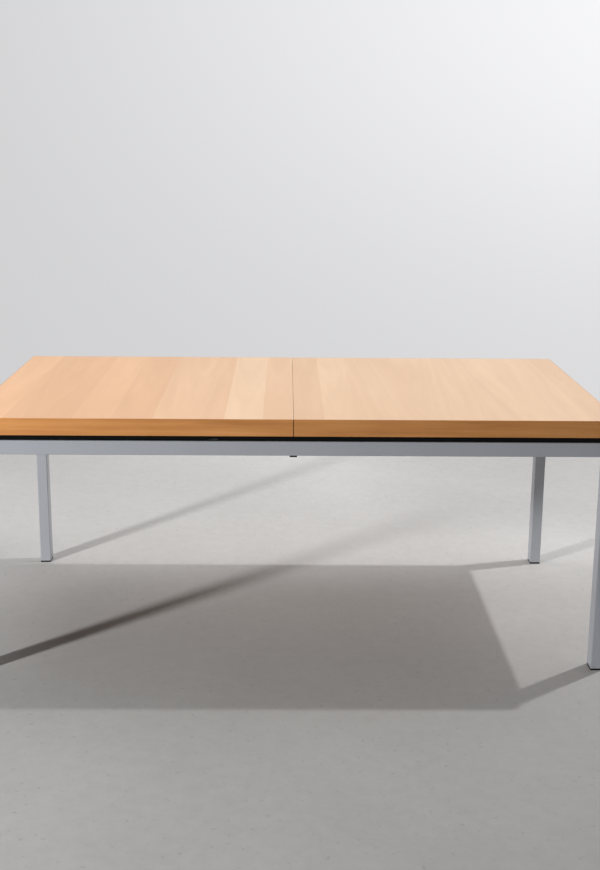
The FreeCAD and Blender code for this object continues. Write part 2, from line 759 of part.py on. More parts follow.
def spare_leaf():
    """The leaf as it lies under the top, turned a quarter so that its ends rest on the two inner beams."""
    body = new_body()
    plan = new_sketch(body, "XY", "leaf_board_bottom")
    rectangle(plan, "-board_y", "board_y", "-leaf_side", "leaf_side")
    pad(body, plan, "board_thickness")
    dowel_level = "leaf_board_bottom + board_thickness / 2"
    for side in (-1, 1):
        holes = new_sketch(body, "XZ", f"{side} * leaf_side")
        for index in (-1, 0, 1):
            circle(holes, f"{index} * dowel_spacing", dowel_level, "dowel_hole")
        pocket(body, holes, "dowel_depth", reverse=side < 0)
    piece(body, "leaf_board")
    width = ("-leaf_side", "leaf_side")
    for end, side in (("front", -1), ("rear", 1)):
        doubler_x = spans(side, "board_y - doubler_width", "board_y")
        piece(bar(doubler_x, width, ("leaf_bottom", "leaf_board_bottom")), f"leaf_{end}_doubler")
        edge_band(f"leaf_{end}_band", False, spans(side, "board_y", "half_width"), width,
                  ("leaf_bottom", "leaf_bottom + edge_height"), 0, f"{side} * half_width", eased_ends=True)
    dowels = []
    for index in (-1, 0, 1):
        dowel = rod("dowel_diameter", "dowel_length")
        place(dowel, f"{index} * dowel_spacing", "leaf_side - dowel_seat", dowel_level, ALONG_Y)
        dowels.append(dowel)
    piece(group(dowels), "leaf_dowels")


def pinion(label, side):
    """Pinion with involute flanks in the front, -1, or rear, +1, slide: one tooth faces the outer rack."""
    teeth = SIZES["pinion_teeth"]
    pitch_radius = value("pitch_radius")
    pressure = math.radians(value("pressure_angle"))
    base_radius = pitch_radius * math.cos(pressure)
    root_radius = pitch_radius - value("pinion_root")
    tip_radius = pitch_radius + value("pinion_tip")
    half_tooth = (value("rack_pitch") / 2 - value("backlash") / 2) / 2 / pitch_radius
    flank_steps = 4

    def half_angle(radius):
        angle = math.acos(min(1.0, base_radius / radius))
        return half_tooth + math.tan(pressure) - pressure - (math.tan(angle) - angle)

    flank_height = (tip_radius - base_radius) / flank_steps
    radii = [base_radius + flank_height * step for step in range(flank_steps + 1)]
    flank = [(root_radius, half_angle(base_radius))] + [(radius, half_angle(radius)) for radius in radii]
    points = []
    for tooth in range(teeth):
        centre = math.pi / 2 + 2 * math.pi * tooth / teeth
        rising = [(radius, centre - angle) for radius, angle in flank]
        falling = [(radius, centre + angle) for radius, angle in reversed(flank)]
        points += [FreeCAD.Vector(radius * math.cos(angle), radius * math.sin(angle), 0)
                   for radius, angle in rising + falling]
    thickness = FreeCAD.Vector(0, 0, value("pinion_thickness"))
    wheel = Part.Face(Part.makePolygon(points + points[:1])).extrude(thickness)
    bore = Part.makeCylinder(value("pin_diameter") / 2 + value("pin_fit"), thickness.z)
    thing = doc.addObject("Part::Feature", "Pinion")
    thing.Shape = wheel.cut(bore)
    place(thing, "0", f"{side} * slide_y", "groove_bottom + (slide_groove - pinion_thickness) / 2")
    piece(thing, label)


def lock():
    """Lock bar and its guide: the finger tab lies under the front rail, the nose before the left runner."""
    bar_body = new_body()
    profile = new_sketch(bar_body, "YZ")
    tab_end = "-(frame_y - lock_setback)"
    back = "-lock_back"
    face = "-(lock_back - lock_thickness)"
    tip = "-nose_tip"
    tab_bottom = "tab_top - lock_thickness"
    nose_top = "nose_bottom + lock_thickness"
    outline(profile, [(tab_end, tab_bottom), (face, tab_bottom), (face, "nose_bottom"),
                      (tip, "nose_bottom"), (tip, nose_top), (back, nose_top),
                      (back, "tab_top"), (tab_end, "tab_top")])
    pad(bar_body, profile, "lock_width", both_ways=True)
    piece(bar_body, "lock_bar")
    guide = new_body()
    section = new_sketch(guide, "YZ")
    outer = "-guide_outer"
    inner = "-(guide_outer - guide_wall)"
    plate_end = "-(slide_y + slide_base_half - guide_lap)"
    plate_bottom = "beam_top - guide_plate"
    outline(section, [(outer, plate_bottom), (plate_end, plate_bottom), (plate_end, "beam_top"),
                      (inner, "beam_top"), (inner, f"{nose_top} + guide_plate"),
                      (outer, f"{nose_top} + guide_plate")])
    pad(guide, section, "lock_width + 2 * guide_border", both_ways=True)
    slot = new_sketch(guide, "XZ", "guide_outer")
    rectangle(slot, "-lock_width / 2 - guide_fit", "lock_width / 2 + guide_fit", "nose_bottom - guide_fit",
              f"{nose_top} + guide_fit")
    pocket(guide, slot, "guide_wall")
    piece(guide, "lock_guide")


long_rail("front_rail", False)
long_rail("rear_rail", True)
end_rail("left_end_rail", False)
end_rail("right_end_rail", True)
for label, side, turned in (("front_left", -1, False), ("front_right", 1, False),
                            ("rear_right", -1, True), ("rear_left", 1, True)):
    leg(f"{label}_leg", side, turned)
    foot(f"{label}_foot", side, turned)
corner_joints()
strips()
for label, beam_x in BEAMS.items():
    beam(label, beam_x)
beam_fasteners()
slide("front_slide", False)
slide("rear_slide", True)
slide_stops()
pinion_pins()
spare_leaf()
top_half("left", False)
top_half("right", True)
runner("left_front_runner", -1, False)
runner("right_front_runner", 1, False)
runner("right_rear_runner", -1, True)
runner("left_rear_runner", 1, True)
runner_screws("left_runner_screws", -1)
runner_screws("right_runner_screws", 1)
seam_dowels("left_dowels")
pinion("front_pinion", -1)
pinion("rear_pinion", 1)
lock()

doc.recompute()
failed = [thing.Label for thing in doc.Objects if "Invalid" in thing.State or "Error" in thing.State]
failed += [thing.Label for thing in PIECES if thing.Shape.isNull() or not thing.Shape.isValid()]
if failed:
    raise RuntimeError(f"not built: {failed}")
os.makedirs("parts", exist_ok=True)
for thing in PIECES:
    thing.Shape.exportStep(f"parts/{thing.Label}.step")
print(len(PIECES), "pieces written")
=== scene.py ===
# %% [markdown]
# # An extending dining table
# The solids of this table come from a CAD model: a thick veneered top in two halves, a slim silver frame,
# and the slides, runners and spare leaf hidden under the top. This lesson dresses those solids. It sets up
# the camera and the light of a studio, writes one procedural finish for each material, and models the two
# small wedges that the solids leave out.
#
# The first cell loads the solids. They stay where they are for the whole lesson, so their box is kept now.

# %% Load the solids
import json
import math

import bmesh
import bpy
from mathutils import Matrix, Vector


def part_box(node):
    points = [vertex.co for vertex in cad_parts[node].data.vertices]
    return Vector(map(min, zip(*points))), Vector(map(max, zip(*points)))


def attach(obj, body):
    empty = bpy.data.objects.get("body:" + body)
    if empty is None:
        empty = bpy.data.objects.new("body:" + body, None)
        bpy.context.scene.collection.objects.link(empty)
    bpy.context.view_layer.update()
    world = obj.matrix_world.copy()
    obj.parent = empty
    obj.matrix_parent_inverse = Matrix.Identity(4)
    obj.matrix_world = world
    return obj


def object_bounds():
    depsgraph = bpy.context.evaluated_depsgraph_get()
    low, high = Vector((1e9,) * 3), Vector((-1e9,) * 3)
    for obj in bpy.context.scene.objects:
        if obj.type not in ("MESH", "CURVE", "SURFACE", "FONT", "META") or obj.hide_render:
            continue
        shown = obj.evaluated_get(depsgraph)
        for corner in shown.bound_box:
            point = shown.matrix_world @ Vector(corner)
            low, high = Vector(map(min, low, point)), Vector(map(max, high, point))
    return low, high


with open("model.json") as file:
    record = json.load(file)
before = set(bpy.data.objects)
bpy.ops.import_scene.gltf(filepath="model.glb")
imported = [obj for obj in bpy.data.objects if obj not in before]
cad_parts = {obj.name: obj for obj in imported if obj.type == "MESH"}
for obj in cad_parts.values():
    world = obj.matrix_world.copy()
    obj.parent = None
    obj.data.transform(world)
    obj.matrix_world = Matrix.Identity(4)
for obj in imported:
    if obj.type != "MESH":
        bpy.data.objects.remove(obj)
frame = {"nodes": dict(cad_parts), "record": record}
nodes = frame["nodes"]
solid_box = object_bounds()
table_low, table_high = solid_box
print(len(nodes), "solids, overall", [round(x, 3) for x in table_high - table_low], "m")

# %% [markdown]
# ## The camera
# The picture was taken from in front, a little above the table, and slightly turned and tilted. A camera
# could be placed by eye, but the edges of the top and the feet on the floor fix its place to a few
# millimetres, so the numbers below are used as they were solved. Blender's camera looks along its own -Z
# axis, so the matrix is built from the directions to the right, up and backwards. The picture is upright,
# and Blender lays the width of the sensor along the longer side, so the lens is worked out from the height.

# %% Camera
# In pixels of the picture, metres and radians
PICTURE_HEIGHT = 870
FOCAL_PIXELS = 1148.3
AXIS_ROW = 391.0
CAMERA_PLACE = Vector((-0.0209, -3.490, 1.4945))
CAMERA_YAW = -0.0124
CAMERA_PITCH = 0.2183
CAMERA_ROLL = -0.0081
SENSOR_MM = 36.0
SIGHT_LIMIT = 50.0

turn = Matrix.Rotation(CAMERA_YAW, 3, "Z") @ Matrix.Rotation(-CAMERA_PITCH, 3, "X")
turn = turn @ Matrix.Rotation(CAMERA_ROLL, 3, "Y")
right, forward, up = turn.col
camera = bpy.data.objects.new("camera", bpy.data.cameras.new("camera"))
bpy.context.scene.collection.objects.link(camera)
camera.matrix_world = Matrix.Translation(CAMERA_PLACE) @ Matrix((right, up, -forward)).transposed().to_4x4()
camera.data.sensor_width = SENSOR_MM
camera.data.lens = SENSOR_MM * FOCAL_PIXELS / PICTURE_HEIGHT
camera.data.shift_y = (AXIS_ROW - PICTURE_HEIGHT / 2) / PICTURE_HEIGHT
camera.data.clip_end = SIGHT_LIMIT
bpy.context.scene.camera = camera
bpy.context.scene.view_settings.view_transform = "Standard"
print("lens", round(camera.data.lens, 2), "mm, shift", round(camera.data.shift_y, 4))

# %% [markdown]
# ## Shader maths as Python
# A procedural finish is mostly arithmetic on a few patterns, and wiring that by hand hides it. So one small
# class stands for a node's output, and adding or multiplying two of them adds a Math node.

# %% Signals
class Signal:
    """One output of a shader node: sums and products with it become Math nodes of the same finish."""

    def __init__(self, finish, socket):
        self.finish = finish
        self.socket = socket

    def out(self, name):
        """Another output of the same node."""
        return Signal(self.finish, self.socket.node.outputs[name])

    def math(self, operation, *operands):
        return self.finish.node("ShaderNodeMath", {"operation": operation}, dict(enumerate(operands)))

    def __add__(self, other):
        return self.math("ADD", self, other)

    def __sub__(self, other):
        return self.math("SUBTRACT", self, other)

    def __rsub__(self, other):
        return self.math("SUBTRACT", other, self)

    def __mul__(self, other):
        return self.math("MULTIPLY", self, other)

    __radd__ = __add__
    __rmul__ = __mul__

    def root(self):
        return self.math("SQRT", self)

    def size(self):
        return self.math("ABSOLUTE", self)

    def clip(self, low, high):
        return self.math("MINIMUM", self.math("MAXIMUM", self, low), high)

    def swing(self, strength):
        """Noise of 0 to 1 as a swing to both sides of nothing, this far from end to end."""
        return (self - 0.5) * strength

    def rise(self, low, high):
        """0 below low, 1 above high, and a soft step between them."""
        return self.finish.node("ShaderNodeMapRange", {"interpolation_type": "SMOOTHSTEP"},
                                {"Value": self, "From Min": low, "From Max": high})


print("a signal knows", ", ".join(name for name in vars(Signal) if not name.startswith("_")))

# %% [markdown]
# A finish owns its node tree and has one method that makes any other node: settings first, then the
# sockets. The world has a node tree too, so the same class serves it.

# %% Finishes
class Finish:
    """A material, or the world, as a tree of nodes. The plain numbers go straight onto its shader."""

    def __init__(self, owner, constants):
        self.owner = owner
        owner.use_nodes = True
        self.tree = owner.node_tree
        self.shader = next(node for node in self.tree.nodes if node.type in ("BSDF_PRINCIPLED", "BACKGROUND"))
        for name, constant in constants.items():
            self.shader.inputs[name].default_value = constant

    def node(self, kind, settings=None, inputs=None, output=0):
        """A new node with these settings, and a value or a signal for each socket that is named."""
        made = self.tree.nodes.new(kind)
        for name, setting in (settings or {}).items():
            if name == "stops":
                self.set_stops(made.color_ramp.elements, setting)
            elif name == "steps":
                made.color_ramp.interpolation = setting
            else:
                setattr(made, name, setting)
        for name, given in (inputs or {}).items():
            if isinstance(given, Signal):
                self.tree.links.new(given.socket, made.inputs[name])
            else:
                made.inputs[name].default_value = given
        return Signal(self, made.outputs[output])

    def set_stops(self, elements, stops):
        while len(elements) < len(stops):
            elements.new(1.0)
        for element, (position, stop_colour) in zip(elements, stops):
            element.position = position
            element.color = stop_colour

    def feed(self, name, signal):
        self.tree.links.new(signal.socket, self.shader.inputs[name])

    def place(self):
        """Where a point lies on the table, in metres."""
        return self.node("ShaderNodeTexCoord", output="Object")

    def axes(self, place):
        """The X, Y and Z of a place or a direction, as outputs of one node."""
        return self.node("ShaderNodeSeparateXYZ", inputs={"Vector": place})

    def noise(self, place, lumps, detail=2.0, roughness=0.5):
        """Cloudy noise between 0 and 1, with this many lumps in a metre along each axis."""
        scaled = self.node("ShaderNodeMapping", inputs={"Vector": place, "Scale": lumps})
        return self.node("ShaderNodeTexNoise", {"noise_dimensions": "3D"},
                         {"Vector": scaled, "Scale": 1.0, "Detail": detail, "Roughness": roughness})

    def mix(self, share, first, second):
        """Colour between first and second by a share from 0 to 1."""
        return self.node("ShaderNodeMix", {"data_type": "RGBA"}, {0: share, 6: first, 7: second}, output=2)

    def bump(self, height, distance, strength):
        self.feed("Normal", self.node("ShaderNodeBump", inputs={"Height": height, "Distance": distance,
                                                                "Strength": strength}))


def new_finish(name, constants):
    return Finish(bpy.data.materials.new(name), constants)


def even(lumps):
    """The same number of lumps along all three axes."""
    return (lumps, lumps, lumps)


def grey(value):
    return (value, value, value, 1.0)


def colour(red, green, blue):
    """A screen colour of 0 to 255 as the linear numbers that shaders work in."""
    linear = []
    for channel in (red, green, blue):
        share = channel / 255
        linear.append(share / 12.92 if share <= 0.04045 else ((share + 0.055) / 1.055) ** 2.4)
    return (*linear, 1.0)


print("ready to write finishes; screen mid grey is", round(colour(128, 128, 128)[0], 3), "linear")

# %% [markdown]
# ## The studio
# The photograph shows a pale wall and the shadows of two lights: one high at the back right, and a lower one
# at the front left. A walled studio would block the view from behind, so the wall is only a colour of the
# world, lighter upwards and to the right. Apart from the lamps the table is lit by two soft glows of the
# world: one around the high lamp, and one from the wall behind. The side behind the camera is open and so
# darker, and the front of the metal frame mirrors that; a camera that looks that way still sees a pale wall.

# %% World
WALL_TINT = (0.985, 0.985, 1.0, 1.0)
# How bright the wall is low in its middle, and what is added to the right, higher up, and for both together
WALL_LOW = 0.68
WALL_RIGHT = 0.04
WALL_HIGH = 0.135
WALL_HIGH_RIGHT = 0.095
WALL_RISE = (-0.24, 0.14)
SIDE_STEEPNESS = 4.2
# How bright the open side is compared with the wall, and where one passes into the other
OPEN_SIDE = 0.42
OPEN_TO_WALL = (-0.6, 0.1)
# Where each glow is strongest, how often it is squared to narrow it, and its strength
GLOWS = [((0.5, 0.17, 0.85), 3, 0.92), ((0.3, 0.6, 0.74), 2, 0.50)]

world = bpy.data.worlds.new("studio")
bpy.context.scene.world = world
sky = Finish(world, {"Color": WALL_TINT})
toward = sky.axes(sky.node("ShaderNodeTexCoord", output="Generated"))


def glow(strongest, squarings, strength):
    x, y, z = strongest
    facing = (toward.out("X") * x + toward.out("Y") * y + toward.out("Z") * z).clip(0.0, 1.0)
    for squaring in range(squarings):
        facing = facing * facing
    return facing * strength


sideways = (toward.out("X") * toward.out("Y") * SIDE_STEEPNESS).clip(-1.0, 1.0)
height = toward.out("Z").rise(*WALL_RISE)
wall = WALL_LOW + sideways * WALL_RIGHT + height * WALL_HIGH + height * sideways * WALL_HIGH_RIGHT
open_side = OPEN_SIDE + (1 - OPEN_SIDE) * toward.out("Y").rise(*OPEN_TO_WALL)
ambient = sum(glow(*soft) for soft in GLOWS)
rays = sky.node("ShaderNodeLightPath")
seen = rays.out("Is Camera Ray")
mirrored = (rays.out("Is Glossy Ray") + rays.out("Is Transmission Ray")).clip(0.0, 1.0)
lighting = 1 - (seen + mirrored).clip(0.0, 1.0)
sky.feed("Strength", seen * wall + mirrored * wall * open_side + lighting * ambient)
print("world made: wall seen directly, and", len(GLOWS), "soft glows that light the table")

# %% [markdown]
# ## The lamps
# The shadows say where the lamps stand. The outline of the top's shadow on the floor gives the high one.
# The long shadows of the left legs meet, drawn backwards, under the low one, and the shadow of the front
# rail on the rear right leg gives its height. A wide panel over the table softens the shadow under it. The
# lamps light the table but are kept out of its mirror images, because from some sides they would lie on the
# lacquer as a white glare.

# %% Lamps
# Places and sizes in metres, power in watts
LAMPS = {
    "high_lamp": {"at": (2.68, 0.89, 5.0), "to": (0.0, 0.0, 0.4), "size": 0.15, "power": 108.0},
    "low_lamp": {"at": (-3.6, -2.94, 1.9), "to": (-2.6, -0.2, 0.5), "size": 0.42, "power": 232.0},
    "soft_panel": {"at": (-1.2, 1.2, 4.0), "to": (0.0, 0.0, 0.4), "size": 2.0, "power": 32.0},
}
for name, lamp in LAMPS.items():
    light = bpy.data.lights.new(name, "AREA")
    light.shape = "DISK"
    light.size = lamp["size"]
    light.energy = lamp["power"]
    holder = bpy.data.objects.new(name, light)
    bpy.context.scene.collection.objects.link(holder)
    aim = Vector(lamp["to"]) - Vector(lamp["at"])
    holder.location = lamp["at"]
    holder.rotation_euler = aim.to_track_quat("-Z", "Y").to_euler()
    holder.visible_camera = False
    holder.visible_glossy = False
    print(name, lamp["power"], "W")

# %% [markdown]
# ## The floor
# The floor is pale concrete: broad clouds, a finer mottle and a few dark specks. In the photograph it gets
# darker towards the front left and lighter in the rear right corner. Lamps for that would also change the
# table, so the shade is part of the concrete's colour. The floor is a disc that fades out before its rim,
# and from below it is clear, so that the table can be looked at from there too.

# %% Floor
FLOOR_RADIUS = 3.4
FLOOR_FADE = 2.5
FLOOR_CORNERS = 96

mesh = bpy.data.meshes.new("floor")
shape = bmesh.new()
bmesh.ops.create_circle(shape, cap_ends=True, segments=FLOOR_CORNERS, radius=FLOOR_RADIUS)
shape.to_mesh(mesh)
shape.free()
floor = bpy.data.objects.new("floor", mesh)
bpy.context.scene.collection.objects.link(floor)
print("floor of", FLOOR_RADIUS, "m radius")

# %% Concrete
CONCRETE_DULL = colour(185, 183, 181)
CONCRETE_PALE = colour(218, 216, 214)
CONCRETE_SPECK = colour(120, 118, 116)
SPECK_STRENGTH = 0.2
# The shade of the near floor and the extra light of the far corner. Each has how much a step to the right
# counts beside a step to the rear, and the places, in metres, between which it changes.
NEAR_SHADE = 0.60
NEAR_SLANT = 0.45
NEAR_RANGE = (-1.1, 0.9)
CORNER_LIGHT = 0.3
CORNER_SLANT = 0.8
CORNER_RANGE = (0.6, 2.2)

concrete = new_finish("pale_concrete", {"Roughness": 0.7, "Specular IOR Level": 0.3})
place = concrete.place()
clouds = concrete.noise(place, even(2.2), 5.0, 0.6)
mottle = concrete.noise(place, even(24), 4.0, 0.7)
specks = concrete.noise(place, even(60), 2.0).rise(0.64, 0.72)
pale = concrete.mix(clouds * 0.5 + mottle * 0.5, CONCRETE_DULL, CONCRETE_PALE)
worn = concrete.mix(specks * SPECK_STRENGTH, pale, CONCRETE_SPECK)
across = concrete.axes(place)
from_front = (across.out("Y") + across.out("X") * NEAR_SLANT).rise(*NEAR_RANGE)
to_corner = (across.out("Y") + across.out("X") * CORNER_SLANT).rise(*CORNER_RANGE)
shade = NEAR_SHADE + (1 - NEAR_SHADE) * from_front + CORNER_LIGHT * to_corner
concrete.feed("Base Color", concrete.node("ShaderNodeVectorMath", {"operation": "SCALE"},
                                          {0: worn, "Scale": shade}))
distance = concrete.node("ShaderNodeVectorMath", {"operation": "LENGTH"}, {0: place}, output="Value")
seen_from_above = 1 - concrete.node("ShaderNodeNewGeometry", output="Backfacing")
solid_share = (1 - distance.rise(FLOOR_FADE, FLOOR_RADIUS)) * seen_from_above
clear = concrete.node("ShaderNodeBsdfTransparent")
surface = Signal(concrete, concrete.shader.outputs[0])
faded = concrete.node("ShaderNodeMixShader", inputs={0: solid_share, 1: clear, 2: surface})
concrete.tree.links.new(faded.socket, concrete.tree.nodes["Material Output"].inputs["Surface"])
floor.data.materials.append(concrete.owner)
print("concrete that fades out from", FLOOR_FADE, "m")

# %% [markdown]
# ## Beech veneer
# The top is veneered with leaves of beech laid side by side, their grain across the table. Each leaf has
# its own lightness and warmth. A table of leaves has to reach the shader. One stepped colour ramp over the
# length of the top does that: its red, green and blue are no colour here, but the lightness, the warmth and
# the middle of each leaf.

# %% Leaves
TOP_HALF_LENGTH = table_high.x
WIDEST_LEAF = 0.6
# Where each leaf starts, in metres from the middle of the table, how light it is and how warm
TOP_LEAVES = [(-0.900, 0.80, 1.00), (-0.799, 0.62, 1.00), (-0.610, 0.76, 0.95), (-0.500, 0.66, 0.95),
              (-0.392, 0.72, 0.70), (-0.192, 0.88, 0.38), (-0.090, 0.69, 0.58), (0.000, 0.59, 0.52),
              (0.083, 0.79, 0.40), (0.172, 0.72, 0.40), (0.558, 0.74, 0.38), (0.820, 0.64, 0.42)]
SPARE_LEAVES = [(-0.900, 0.66, 0.60), (-0.120, 0.80, 0.40), (0.110, 0.62, 0.70)]


def along_top(x):
    """A place along the top as a share of its length."""
    return (x + TOP_HALF_LENGTH) / (2 * TOP_HALF_LENGTH)


def leaf_stops(leaves):
    ends = [edge for edge, lightness, warmth in leaves[1:]] + [TOP_HALF_LENGTH]
    stops = []
    for (edge, lightness, warmth), end in zip(leaves, ends):
        middle = (max(edge, end - WIDEST_LEAF) + end) / 2
        stops.append((along_top(edge), (lightness, warmth, along_top(middle), 1.0)))
    return stops


print(len(TOP_LEAVES), "leaves on the top,", len(SPARE_LEAVES), "on the spare leaf")

# %% [markdown]
# Within a leaf the growth rings show very softly, straight near its edges and drawn into arches along its
# middle, because a leaf is a flat slice through slightly tapering rings. The finish works that out: the
# distance from the pith in the slice, less the taper, is the ring that a point lies in. Over the rings come
# long pale tongues, fine fibres and the short dark flecks that mark beech. At the seam comes a thin dark line
# of painted shade and dirt. The spare leaf lies turned under the top, so its finish runs the other way.

# %% Veneer
BEECH_PALE = colour(246, 216, 180)
BEECH_WARM = colour(243, 191, 144)
BEECH_DEEP = colour(205, 156, 112)
BEECH_FLECK = colour(150, 100, 62)
# Lumps in a metre across the grain, along it and into the wood
SWAY = (3.0, 1.1, 3.0)
TONGUES = (17.0, 1.5, 17.0)
CLOUDS = (5.0, 1.6, 5.0)
FIBRES = (700.0, 8.0, 700.0)
FLECKS = (1300.0, 230.0, 1300.0)
# Depth of the pith under the slice, how far a ring shifts in a metre of taper and by its sway, in metres
PITH_DEPTH = 0.04
RING_TAPER = 0.045
RING_SWAY = 0.06
RINGS_IN_A_METRE = 42.0
# Shifts the rings of each leaf by its place, so that no two leaves look alike
LEAF_STEP = 9.0
LACQUER_ROUGHNESS = 0.36
PORE_DEPTH = 0.00008
PORE_STRENGTH = 0.35
# Half the width of the painted seam shade and dirt line, from full to nothing; the spare leaf has no seam
TOP_SEAM_LINE = (0.0004, 0.0007)
NO_SEAM_LINE = (-2.0, -1.0)


def veneer(name, leaves, across_axis, along_axis, seam_line):
    finish = new_finish(name, {"IOR": 1.5})
    axes = finish.axes(finish.place())
    across = axes.out(across_axis)
    along = axes.out(along_axis)
    lined_up = finish.node("ShaderNodeCombineXYZ", inputs={"X": across, "Y": along, "Z": axes.out("Z")})
    share = (across + TOP_HALF_LENGTH) * (0.5 / TOP_HALF_LENGTH)
    ramp = finish.node("ShaderNodeValToRGB", {"stops": leaf_stops(leaves), "steps": "CONSTANT"},
                       {"Fac": share})
    leaf = finish.node("ShaderNodeSeparateColor", inputs={"Color": ramp})
    lightness = leaf.out("Red")
    warmth = leaf.out("Green")
    middle = leaf.out("Blue")
    from_middle = (share - middle) * (2 * TOP_HALF_LENGTH)
    pith_distance = (from_middle * from_middle + PITH_DEPTH ** 2).root()
    sway = finish.noise(lined_up, SWAY, 3.0)
    ring = pith_distance - along * RING_TAPER + sway * RING_SWAY + middle * LEAF_STEP
    rings = finish.node("ShaderNodeTexNoise", {"noise_dimensions": "1D"},
                        {"W": ring, "Scale": RINGS_IN_A_METRE, "Detail": 3.0, "Roughness": 0.6})
    tongues = finish.noise(lined_up, TONGUES, 2.0).rise(0.52, 0.68)
    clouds = finish.noise(lined_up, CLOUDS, 3.0)
    fibres = finish.noise(lined_up, FIBRES, 3.0)
    flecks = finish.noise(lined_up, FLECKS, 1.0).rise(0.63, 0.70)
    figure = rings.swing(0.30) + clouds.swing(0.42) + fibres.swing(0.34) + tongues * 0.10
    wood = finish.mix(lightness + figure, BEECH_DEEP, finish.mix(warmth, BEECH_PALE, BEECH_WARM))
    # Painted shade and dirt: a thin dark line along the seam between the two halves
    seam_shade_and_dirt = 1 - across.size().rise(*seam_line)
    flecks_and_seam_shade = (flecks * 0.2 + seam_shade_and_dirt * 0.8).clip(0.0, 1.0)
    finish.feed("Base Color", finish.mix(flecks_and_seam_shade, wood, BEECH_FLECK))
    finish.feed("Roughness", LACQUER_ROUGHNESS + fibres.swing(0.12) + flecks * 0.08)
    finish.bump(fibres * 0.5 - flecks, PORE_DEPTH, PORE_STRENGTH)
    print(name, "with", len(leaves), "leaves")
    return finish.owner


top_veneer = veneer("beech_veneer_top", TOP_LEAVES, "X", "Y", TOP_SEAM_LINE)
spare_veneer = veneer("beech_veneer_spare", SPARE_LEAVES, "Y", "X", NO_SEAM_LINE)

# %% [markdown]
# ## Edge bands
# The bands around the top are thin strips of solid beech, with the grain along the edge. They look more
# orange than the top, partly because the light meets them flatter. On a long band y hardly changes and on
# an end band x hardly changes, so x + y runs along both, and one finish serves all of them. Long noise
# gives the streaks, and short flecks lie along them. Where the two halves meet, their eased ends are
# painted dark: painted shade of the gap between them, with some dirt.

# %% Edge band
BAND_LIGHT = colour(230, 167, 105)
BAND_MIDDLE = colour(210, 145, 84)
BAND_DARK = colour(172, 108, 56)
BAND_STOPS = [(0.0, BAND_DARK), (0.55, BAND_MIDDLE), (1.0, BAND_LIGHT)]
# Painted shade and dirt on the band ends where the two halves meet
BAND_SEAM_SHADE_AND_DIRT = colour(62, 34, 14)
BAND_SEAM_LINE = (0.0009, 0.0014)
BAND_ROUGHNESS = 0.38
# Lumps in a metre along the band and up it; the pattern is flat, so the third number does nothing
BAND_STREAKS = (2.2, 75.0, 1.0)
BAND_PATCHES = (4.0, 16.0, 1.0)
BAND_FIBRES = (14.0, 1400.0, 1.0)
BAND_FLECKS = (260.0, 1500.0, 1.0)


def edge_band():
    finish = new_finish("beech_edge_band", {"IOR": 1.5})
    axes = finish.axes(finish.place())
    along = axes.out("X") + axes.out("Y")
    lined_up = finish.node("ShaderNodeCombineXYZ", inputs={"X": along, "Y": axes.out("Z")})
    streaks = finish.noise(lined_up, BAND_STREAKS, 3.0, 0.55)
    patches = finish.noise(lined_up, BAND_PATCHES, 2.0)
    fibres = finish.noise(lined_up, BAND_FIBRES, 2.0)
    flecks = finish.noise(lined_up, BAND_FLECKS, 1.0).rise(0.64, 0.71)
    lightness = 0.5 + streaks.swing(0.95) + patches.swing(0.7) + fibres.swing(0.45)
    wood = finish.node("ShaderNodeValToRGB", {"stops": BAND_STOPS}, {"Fac": lightness})
    flecked = finish.mix(flecks * 0.3, wood, BEECH_FLECK)
    # Painted shade and dirt in a thin line at the seam between the halves
    seam_shade_and_dirt = 1 - axes.out("X").size().rise(*BAND_SEAM_LINE)
    finish.feed("Base Color", finish.mix(seam_shade_and_dirt, flecked, BAND_SEAM_SHADE_AND_DIRT))
    finish.feed("Roughness", BAND_ROUGHNESS + fibres.swing(0.12))
    finish.bump(fibres * 0.5 - flecks, PORE_DEPTH, PORE_STRENGTH)
    return finish.owner


band_wood = edge_band()
print("edge band made")

# %% [markdown]
# ## Sanded wood under the top
# The doublers that thicken the edge, and the dowels, are the same wood without lacquer: paler, duller and
# plainer. Their grain runs along each piece, so the finish is made once for pieces along X and once for
# pieces along Y.

# %% Sanded wood
SANDED_LIGHT = colour(214, 176, 134)
SANDED_DARK = colour(180, 136, 94)
SANDED_ROUGHNESS = 0.68
# Lumps in a metre across the grain, and the share of them along it
SANDED_STREAKS = 60.0
SANDED_FIBRES = 900.0
ALONG_GRAIN = 0.02


def sanded_wood(name, stretch):
    finish = new_finish(name, {"Specular IOR Level": 0.3})
    place = finish.place()
    streaks = finish.noise(place, [SANDED_STREAKS * share for share in stretch], 4.0, 0.6)
    fibres = finish.noise(place, [SANDED_FIBRES * share for share in stretch], 2.0)
    lightness = 0.5 + streaks.swing(1.2) + fibres.swing(0.6)
    finish.feed("Base Color", finish.mix(lightness, SANDED_DARK, SANDED_LIGHT))
    finish.feed("Roughness", SANDED_ROUGHNESS + fibres.swing(0.2))
    finish.bump(fibres, 0.0001, 0.4)
    return finish.owner


sanded_along_x = sanded_wood("sanded_wood_x", (ALONG_GRAIN, 1.0, 1.0))
sanded_along_y = sanded_wood("sanded_wood_y", (1.0, ALONG_GRAIN, 1.0))
print("sanded wood made, two ways of the grain")

# %% [markdown]
# ## Silver powder coat
# Rails and legs have a satin silver coat: fine flakes in a clear binder, sprayed and baked. From near it
# sparkles very finely and has the slight orange-peel swell of powder. So the colour carries a fine
# flake pattern, and a broader, shallow swell goes into the bump. It is part metal, part paint.

# %% Silver coat
SILVER_LIGHT = (0.554, 0.581, 0.628, 1.0)
SILVER_DARK = (0.429, 0.448, 0.489, 1.0)
SILVER_METAL = 0.35
SILVER_ROUGHNESS = 0.42
FLAKES = even(2600.0)
SWELL = even(420.0)
COAT_CLOUDS = (7.0, 7.0, 4.0)


